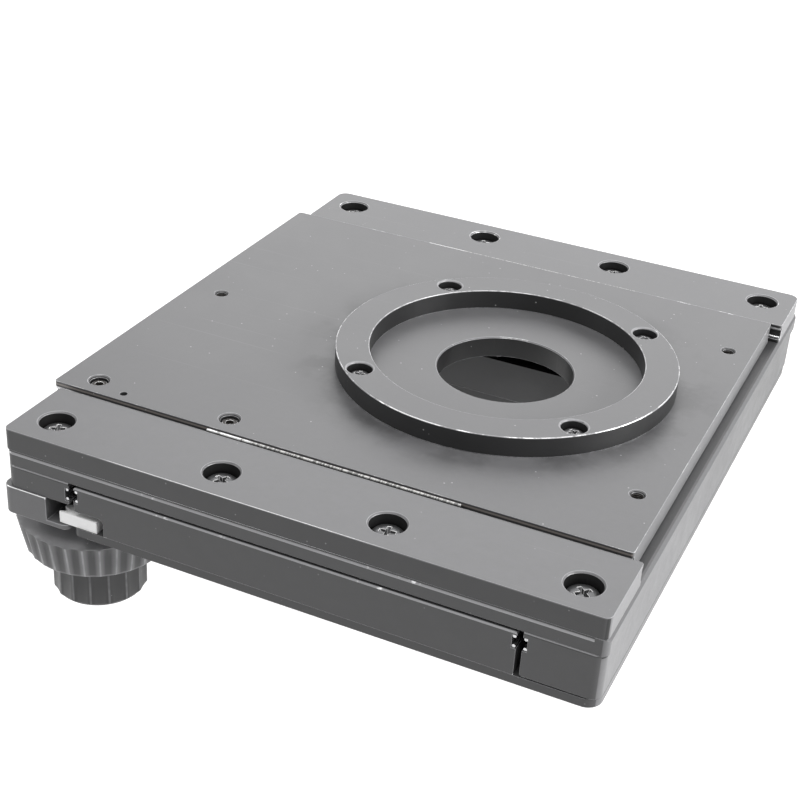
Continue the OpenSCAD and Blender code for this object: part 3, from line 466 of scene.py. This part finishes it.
# %% Helpers for pieces
def deselect():
    if bpy.context.object and bpy.context.object.mode != "OBJECT":
        bpy.ops.object.mode_set(mode="OBJECT")
    bpy.ops.object.select_all(action="DESELECT")


def pick(piece):
    deselect()
    piece.select_set(True)
    bpy.context.view_layer.objects.active = piece


def apply_modifiers(piece):
    pick(piece)
    for modifier in list(piece.modifiers):
        bpy.ops.object.modifier_apply(modifier=modifier.name)


def settle(piece, name, body, finishes, stands_for=()):
    """Names a finished piece, brings its object to the origin and ties it to the frame."""
    pick(piece)
    bpy.ops.object.transform_apply(location=True, rotation=True, scale=True)
    piece.name = name
    piece.data.name = name
    while len(piece.data.materials) < len(finishes):
        piece.data.materials.append(None)
    for index, finish in enumerate(finishes):
        piece.data.materials[index] = finish
    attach(piece, body)
    if stands_for:
        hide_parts(*stands_for)


def copy_of(node):
    """A loose copy of a CAD node, with its triangles merged into flat faces."""
    pick(nodes[node])
    bpy.ops.object.duplicate(linked=False)
    piece = bpy.context.object
    bpy.ops.object.parent_clear(type="CLEAR_KEEP_TRANSFORM")
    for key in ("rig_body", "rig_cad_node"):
        if key in piece:
            del piece[key]
    bpy.ops.object.mode_set(mode="EDIT")
    bpy.ops.mesh.select_all(action="SELECT")
    bpy.ops.mesh.remove_doubles(threshold=0.000002)
    bpy.ops.mesh.dissolve_limited(angle_limit=math.radians(0.5), delimit={"NORMAL"})
    bpy.ops.object.mode_set(mode="OBJECT")
    piece.data.materials.clear()
    return piece


def soften(piece, width, segments=2, angle=32):
    """Bevels every edge sharper than the angle; the bevel faces take material 2."""
    bevel = piece.modifiers.new("edges", "BEVEL")
    bevel.width = width
    bevel.segments = segments
    bevel.limit_method = "ANGLE"
    bevel.angle_limit = math.radians(angle)
    bevel.material = 1
    bevel.use_clamp_overlap = True
    apply_modifiers(piece)
    bpy.ops.object.shade_smooth_by_angle(angle=math.radians(40))
    weigh = piece.modifiers.new("normals", "WEIGHTED_NORMAL")
    weigh.keep_sharp = True
    apply_modifiers(piece)


def plate(node, body, width, finishes, slopes=False):
    """Dresses a CAD plate; with slopes, its sloping faces take the edge finish too."""
    piece = copy_of(node)
    piece.data.materials.append(finishes[0])
    piece.data.materials.append(finishes[1])
    soften(piece, width)
    if slopes:
        choose(piece, lambda face: 0.3 < face.normal.z < 0.95)
        piece.active_material_index = 1
        bpy.ops.object.material_slot_assign()
        bpy.ops.object.mode_set(mode="OBJECT")
    settle(piece, node + "_machined", body, finishes, [node])
    print(node, "has", len(piece.data.polygons), "faces")


print("helpers for pieces ready")

# %% [markdown]
# Round parts are turned from the bottom up: a disc is extruded and sized step by step. Points and
# faces are chosen by where they lie, as a modeller would box-select them.


# %% Helpers for turned parts
def choose(piece, test, kind="FACE"):
    """Selects the faces or points that pass the test and stays in edit mode."""
    pick(piece)
    bpy.ops.object.mode_set(mode="EDIT")
    bpy.ops.mesh.select_mode(type=kind)
    bpy.ops.mesh.select_all(action="DESELECT")
    bpy.ops.object.mode_set(mode="OBJECT")
    items = piece.data.polygons if kind == "FACE" else piece.data.vertices
    for item in items:
        item.select = bool(test(item))
    bpy.ops.object.mode_set(mode="EDIT")


def turned(sides, profile):
    """A solid of revolution from (radius, height) rows, the lowest first."""
    radius, height = profile[0]
    deselect()
    bpy.ops.mesh.primitive_circle_add(
        vertices=sides, radius=radius, fill_type="NGON", location=(0, 0, height))
    piece = bpy.context.object
    bpy.ops.object.transform_apply(location=True, rotation=True, scale=True)
    bpy.ops.object.mode_set(mode="EDIT")
    bpy.ops.mesh.select_all(action="SELECT")
    for (r0, z0), (r1, z1) in zip(profile, profile[1:]):
        bpy.ops.mesh.extrude_region_move(TRANSFORM_OT_translate={"value": (0, 0, z1 - z0)})
        bpy.ops.transform.resize(value=(r1 / r0, r1 / r0, 1), center_override=(0, 0, 0))
    bpy.ops.mesh.select_all(action="SELECT")
    bpy.ops.mesh.normals_make_consistent(inside=False)
    bpy.ops.object.mode_set(mode="OBJECT")
    return piece


def press_flutes(piece, flutes, phase, rows):
    """Sizes columns of points inwards; a row is its height and the depth of a valley there."""
    # How deep each column is pressed, counted from the middle of a valley
    shares = {0: 1.0, 1: 0.93, 2: 0.7, 3: 0.28}
    near = 0.02 * MM
    pitch = 2 * math.pi / flutes

    def lane(point):
        turn = (math.atan2(point.co.y, point.co.x) - phase) % pitch
        return round(min(turn, pitch - turn) / pitch * 8)

    for height, depth in rows:
        ring = [v for v in piece.data.vertices if abs(v.co.z - height) < near]
        radius = max(v.co.to_2d().length for v in ring)
        for number, share in shares.items():
            choose(piece, lambda v: abs(v.co.z - height) < near
                   and v.co.to_2d().length > radius * 0.9 and lane(v) == number, "VERT")
            size = 1 - depth * share / radius
            bpy.ops.transform.resize(value=(size, size, 1), center_override=(0, 0, 0))
            bpy.ops.object.mode_set(mode="OBJECT")


def cut_away(piece, cutter):
    pick(piece)
    knife = piece.modifiers.new("cut", "BOOLEAN")
    knife.operation = "DIFFERENCE"
    knife.solver = "EXACT"
    knife.object = cutter
    bpy.ops.object.modifier_apply(modifier=knife.name)
    bpy.data.objects.remove(cutter)


def seats(node, reach):
    """Boxes of a CAD node's loose parts as (low, high); parts lie further apart than reach."""
    boxes = []
    for vertex in nodes[node].data.vertices:
        point = nodes[node].matrix_world @ vertex.co
        for low, high in boxes:
            if ((low + high) / 2 - point).to_2d().length < reach:
                low[:] = [min(a, b) for a, b in zip(low, point)]
                high[:] = [max(a, b) for a, b in zip(high, point)]
                break
        else:
            boxes.append((point.copy(), point.copy()))
    return sorted(boxes, key=lambda box: (round(box[0].y, 3), box[0].x))


def set_copies(pattern, places):
    """Copies one piece, each with its own mesh, to (x, y, z, turn) and joins them."""
    made = []
    for x, y, z, turn in places:
        pick(pattern)
        bpy.ops.object.duplicate(linked=False)
        twin = bpy.context.object
        twin.rotation_euler = (0, 0, turn)
        twin.location = (x, y, z)
        made.append(twin)
    deselect()
    for twin in made:
        twin.select_set(True)
    bpy.context.view_layer.objects.active = made[0]
    bpy.ops.object.transform_apply(location=True, rotation=True, scale=True)
    if len(made) > 1:
        bpy.ops.object.join()
    joined = bpy.context.object
    bpy.data.objects.remove(pattern)
    return joined


def open_edges(piece):
    """Number of edges that don't have a face on both sides."""
    count = {}
    for face in piece.data.polygons:
        for key in face.edge_keys:
            count[key] = count.get(key, 0) + 1
    return sum(1 for times in count.values() if times != 2)


print("helpers ready")

# %% [markdown]
# The plates of base and carriage are dark, with light wear. The deck plates on top are painted a
# shade lighter, as light on their tops. The fourth value is the width of the broken edge.

# %% Plates
body_pair = [body_lit_and_shaded, body_edge_wear_and_shade]
deck_pair = [deck_lit_and_shaded, deck_edge]
rail_pair = [deck_lit_and_shaded, rail_edge]
plate_pair = [plate_lit_and_shaded, deck_edge]
bracket_pair = [bracket_finish, bracket_edge]
ring_pair = [ring_lit_and_shaded, ring_edge]
plate("base_slab", "base", 0.25 * MM, body_pair, True)
plate("bottom_plate", "base", 0.35 * MM, body_pair, True)
plate("middle_plate", "y_carriage", 0.2 * MM, body_pair, True)
plate("left_block", "y_carriage", 0.35 * MM, body_pair, True)
plate("right_block", "y_carriage", 0.35 * MM, body_pair, True)
plate("knob_bracket", "y_carriage", 0.35 * MM, bracket_pair)
plate("front_rail", "y_carriage", 0.4 * MM, rail_pair)
plate("back_rail", "y_carriage", 0.35 * MM, deck_pair)
plate("x_plate", "x_carriage", 0.25 * MM, plate_pair)
plate("specimen_ring", "x_carriage", 0.25 * MM, ring_pair)

# %% [markdown]
# Screws with a cross recess hold the rails and the ring. One head is turned, two tapered bars cut
# the cross, the bevel on its lips is painted near white as a painted glint, and copies go where the
# CAD screws stand.


# %% Cross-recess screws
# Width and height of the head, and width of the shank
RAIL_HEAD = (8.3 * MM, 2.0 * MM, 3.9 * MM)
RING_HEAD = (6.0 * MM, 1.9 * MM, 2.9 * MM)
# How far each screw's cross is turned from the one before, in degrees
NEXT_TURN = 37


def cross_head(width, height, shank):
    crown = [(0.5, 0.0), (0.5, 0.42), (0.478, 0.62), (0.43, 0.8), (0.34, 0.93), (0.22, 1.0)]
    profile = [(shank / 2, -2 * MM), (shank / 2, 0)] + [(width * r, height * z) for r, z in crown]
    head = turned(64, profile)
    for turn in (0, 90):
        bpy.ops.mesh.primitive_cube_add(
            size=1, location=(0, 0, height * 0.68), rotation=(0, 0, math.radians(turn)))
        bar = bpy.context.object
        bar.scale = (width * 0.58, width * 0.15, height * 1.2)
        bpy.ops.object.transform_apply(location=True, rotation=True, scale=True)
        choose(bar, lambda face: face.normal.z < -0.9)
        bpy.ops.transform.resize(value=(0.45, 0.45, 1), center_override=(0, 0, 0))
        bpy.ops.object.mode_set(mode="OBJECT")
        cut_away(head, bar)
    head.data.materials.append(screw_finish)
    head.data.materials.append(painted_glint_finish)
    soften(head, 0.18 * MM, 2, 36)
    return head


def cross_screws(node, width, height, shank, body, first_turn):
    places = []
    for index, (low, high) in enumerate(seats(node, width)):
        middle = (low + high) / 2
        turn = math.radians(first_turn + NEXT_TURN * index)
        places.append((middle.x, middle.y, high.z - height, turn))
    screws = set_copies(cross_head(width, height, shank), places)
    settle(screws, node + "_turned", body, [screw_finish, painted_glint_finish], [node])
    faces = len(screws.data.polygons)
    print(node, len(places), "heads,", faces, "faces,", open_edges(screws), "open edges")


cross_screws("rail_screws", *RAIL_HEAD, "y_carriage", 25)
cross_screws("ring_screws", *RING_HEAD, "x_carriage", 10)

# %% [markdown]
# Two black socket screws hold the rack under the plate. Their heads are knurled: every second column
# of points is pressed in a little before the hexagon is cut.


# %% Socket screws of the rack
RACK_HEAD = (4.4 * MM, 1.9 * MM, 2.4 * MM)


def socket_head(width, height, shank):
    rows = [(0.5, 0.0), (0.5, 0.3), (0.5, 0.85), (0.45, 1.0)]
    shank_rows = [(shank / 2, -2 * MM), (shank / 2, 0)]
    head = turned(72, shank_rows + [(width * r, height * z) for r, z in rows])
    for low in (0.3, 0.85):
        choose(head, lambda v: abs(v.co.z - height * low) < 0.01 * MM
               and v.co.to_2d().length > width * 0.4
               and round(math.atan2(v.co.y, v.co.x) / math.radians(5)) % 2 == 0, "VERT")
        bpy.ops.transform.resize(value=(0.95, 0.95, 1), center_override=(0, 0, 0))
        bpy.ops.object.mode_set(mode="OBJECT")
    bpy.ops.mesh.primitive_cylinder_add(
        vertices=6, radius=width * 0.27, depth=height * 1.3, location=(0, 0, height))
    cut_away(head, bpy.context.object)
    head.data.materials.append(black_finish)
    # The bevels take the painted glint: near white.
    head.data.materials.append(painted_glint_finish)
    soften(head, 0.06 * MM, 1, 60)
    return head


rack_seats = seats("x_rack_screws", 5 * MM)
rack_places = []
for index, (low, high) in enumerate(rack_seats):
    middle = (low + high) / 2
    rack_places.append((middle.x, middle.y, high.z - RACK_HEAD[1], 0.4 * index))
rack_screws = set_copies(socket_head(*RACK_HEAD), rack_places)
settle(rack_screws, "x_rack_screws_turned", "x_carriage",
       [black_finish, painted_glint_finish], ["x_rack_screws"])
print("rack screws at", [[round(v / MM, 1) for v in place[:2]] for place in rack_places])

# %% [markdown]
# Threads show in the three small holes of the top plate: rings of half a millimetre pitch.

# %% Threads
# Places of the holes, the highest crest, the pitch and the number of crests, in millimetres
holes = [(-73.4, 0.4), (70.6, 44.0), (70.6, -44.0)]
THREAD_TOP = 25.4
THREAD_PITCH = 0.5
THREAD_CRESTS = 9
bpy.ops.mesh.primitive_torus_add(
    major_segments=40, minor_segments=8, major_radius=1.6 * MM, minor_radius=0.16 * MM)
crest = bpy.context.object
choose(crest, lambda v: v.co.to_2d().length < 1.5 * MM, "VERT")
bpy.ops.transform.resize(value=(1, 1, 0.4), center_override=(0, 0, 0))
bpy.ops.object.mode_set(mode="OBJECT")
crests = [(x * MM, y * MM, (THREAD_TOP - THREAD_PITCH * k) * MM, 0.0)
          for x, y in holes for k in range(THREAD_CRESTS)]
threads = set_copies(crest, crests)
pick(threads)
bpy.ops.object.shade_smooth()
settle(threads, "plate_threads", "x_carriage", [black_finish])
print("thread crests:", len(crests), "in", len(holes), "holes")

# %% [markdown]
# The knobs. Each is turned from its bottom disc, then the flutes are pressed in row by row; they run
# out towards the shoulder of the large knob and stop at the chamfers.

# %% Knobs
# Rows are (radius, height) of the outline; flute rows are (height, depth of a valley), all in mm
RECESS_R = 8 * MM
large_rows = [(19.0, -16.5), (19.7, -15.8), (20.3, -13.0), (21.0, -9.6), (21.5, -7.2),
              (21.6, -6.6), (21.35, -6.2), (20.7, -5.6), (19.6, -4.75), (18.2, -3.8),
              (16.8, -2.8), (15.2, -1.8), (14.2, -1.25), (13.0, -0.8)]
large_flutes = [(-15.8, 0.4), (-13.0, 0.65), (-9.6, 0.9), (-7.2, 1.05), (-6.6, 0.6)]
small_rows = [(12.2, -31.0), (12.9, -30.3), (12.9, -24.0), (12.9, -18.0), (12.5, -17.2)]
small_flutes = [(-30.3, 0.4), (-24.0, 0.5), (-18.0, 0.5)]


def metres(rows):
    return [(first * MM, second * MM) for first, second in rows]


def recess(piece, depth, height):
    """A round pocket on the axis, cut by a cylinder with its middle at the height."""
    bpy.ops.mesh.primitive_cylinder_add(
        vertices=64, radius=RECESS_R, depth=depth, location=(0, 0, height))
    cut_away(piece, bpy.context.object)


large = turned(240, metres(large_rows))
recess(large, 4 * MM, -1.0 * MM)
press_flutes(large, LARGE_FLUTES, 0.0, metres(large_flutes))
small = turned(128, metres(small_rows))
recess(small, 2.4 * MM, -31.0 * MM)
press_flutes(small, SMALL_FLUTES, SMALL_PHASE, metres(small_flutes))
for knob, name, body, finish in ((large, "large_knob", "y_knob", large_knob_lit_and_shaded),
                                 (small, "small_knob", "x_knob", small_knob_lit_and_shaded)):
    pick(knob)
    bpy.ops.object.mode_set(mode="OBJECT")
    knob.location = (*knob_axis, 0)
    bpy.ops.object.transform_apply(location=True, rotation=True, scale=True)
    bpy.ops.object.shade_smooth_by_angle(angle=math.radians(30))
    settle(knob, name + "_turned", body, [finish], [name])
    print(name, len(knob.data.polygons), "faces,", open_edges(knob), "open edges")

# %% [markdown]
# The CAD nodes that are right as they are keep their shape and take a finish.

# %% Finishes of the kept nodes
kept = [
    (rack_painted_white, ["y_rack"]),
    (steel_finish, ["bottom_plate_screws", "y_rack_screws", "base_wires", "block_screws",
                    "block_wires", "rail_wires", "bracket_screws", "x_rack", "rack_pin",
                    "plate_wires", "outer_shaft", "y_pinion", "large_knob_screw", "inner_shaft",
                    "x_pinion", "small_knob_screw"]),
    (cage_finish, ["front_cage", "back_cage", "left_cage", "right_cage"]),
    (ball_finish, ["front_balls", "back_balls", "left_balls", "right_balls"]),
    (brass_finish, ["shaft_bushing"]),
    (washer_finish, ["knob_washer"]),
    (cap_finish, ["end_cap"]),
]
for finish, names in kept:
    for name in names:
        nodes[name].data.materials.clear()
        nodes[name].data.materials.append(finish)
print("kept nodes:", sum(len(names) for finish, names in kept))

# %% [markdown]
# A plain pale floor. It adds a little light of its own, seen by the camera, in reflections and
# through clear parts, so it stays white around the object and still shows its shadow.

# %% Floor
FLOOR_SIZE = 8
FLOOR_Z = -0.075
bpy.ops.mesh.primitive_plane_add(size=FLOOR_SIZE, location=(0, 0, FLOOR_Z))
floor = bpy.context.object
floor.name = "floor"
white = Paint("floor_white")
path = white.node("ShaderNodeLightPath", {}, {}, "Is Camera Ray")
glossy = white.node("ShaderNodeLightPath", {}, {}, "Is Glossy Ray")
through = white.node("ShaderNodeLightPath", {}, {}, "Is Transmission Ray")
seen = white.step(path + glossy + through, 0.0, 1.0)
diffuse = white.node("ShaderNodeBsdfDiffuse", {}, {"Color": (0.6, 0.6, 0.6, 1)})
glow = white.node("ShaderNodeEmission", {}, {"Color": (1, 1, 1, 1), "Strength": seen * 0.7})
both = white.node("ShaderNodeAddShader", {}, {0: diffuse, 1: glow})
white.tree.links.new(both.socket, white.out.inputs["Surface"])
floor.data.materials.append(white.material)
print("floor at", FLOOR_Z, "m")

# %% [markdown]
# The world lights the stage dimly and shows white behind it. Four large soft lamps do the rest; the
# brightest stands low at the right, where the photograph's end faces are light.

# %% World and lamps
SKY_LIGHT = 0.32
SKY_SEEN = 1.0
world = bpy.data.worlds.new("studio")
bpy.context.scene.world = world
world.use_nodes = True
sky = world.node_tree
sky.nodes.clear()
sky_out = sky.nodes.new("ShaderNodeOutputWorld")
sky_back = sky.nodes.new("ShaderNodeBackground")
sky_path = sky.nodes.new("ShaderNodeLightPath")
sky_level = sky.nodes.new("ShaderNodeMapRange")
sky_level.inputs["To Min"].default_value = SKY_LIGHT
sky_level.inputs["To Max"].default_value = SKY_SEEN
previous = sky_path.outputs["Is Camera Ray"]
for kind in ("Is Glossy Ray", "Is Transmission Ray"):
    either = sky.nodes.new("ShaderNodeMath")
    either.operation = "MAXIMUM"
    sky.links.new(previous, either.inputs[0])
    sky.links.new(sky_path.outputs[kind], either.inputs[1])
    previous = either.outputs[0]
sky.links.new(previous, sky_level.inputs["Value"])
sky.links.new(sky_level.outputs["Result"], sky_back.inputs["Strength"])
sky.links.new(sky_back.outputs[0], sky_out.inputs["Surface"])


def softbox(name, place, target, size, power):
    """A rectangular lamp; places and sizes are in metres, the power in watts."""
    bpy.ops.object.light_add(type="AREA", location=place)
    lamp = bpy.context.object
    lamp.name = name
    lamp.data.shape = "RECTANGLE"
    lamp.data.size, lamp.data.size_y = size
    lamp.data.energy = power
    aim = Vector(target) - Vector(place)
    lamp.rotation_euler = aim.to_track_quat("-Z", "Y").to_euler()


softbox("back_box", (-0.25, 1.1, 0.75), (0, 0, 0), (1.4, 0.9), 7)
softbox("right_box", (1.1, 0.1, 0.22), (0, 0, 0), (0.5, 0.9), 20)
softbox("top_box", (0.1, -0.4, 1.1), (0, 0, 0), (0.9, 0.7), 8)
softbox("left_box", (-0.9, -0.5, 0.35), (0, 0, -0.02), (0.5, 0.5), 2.5)
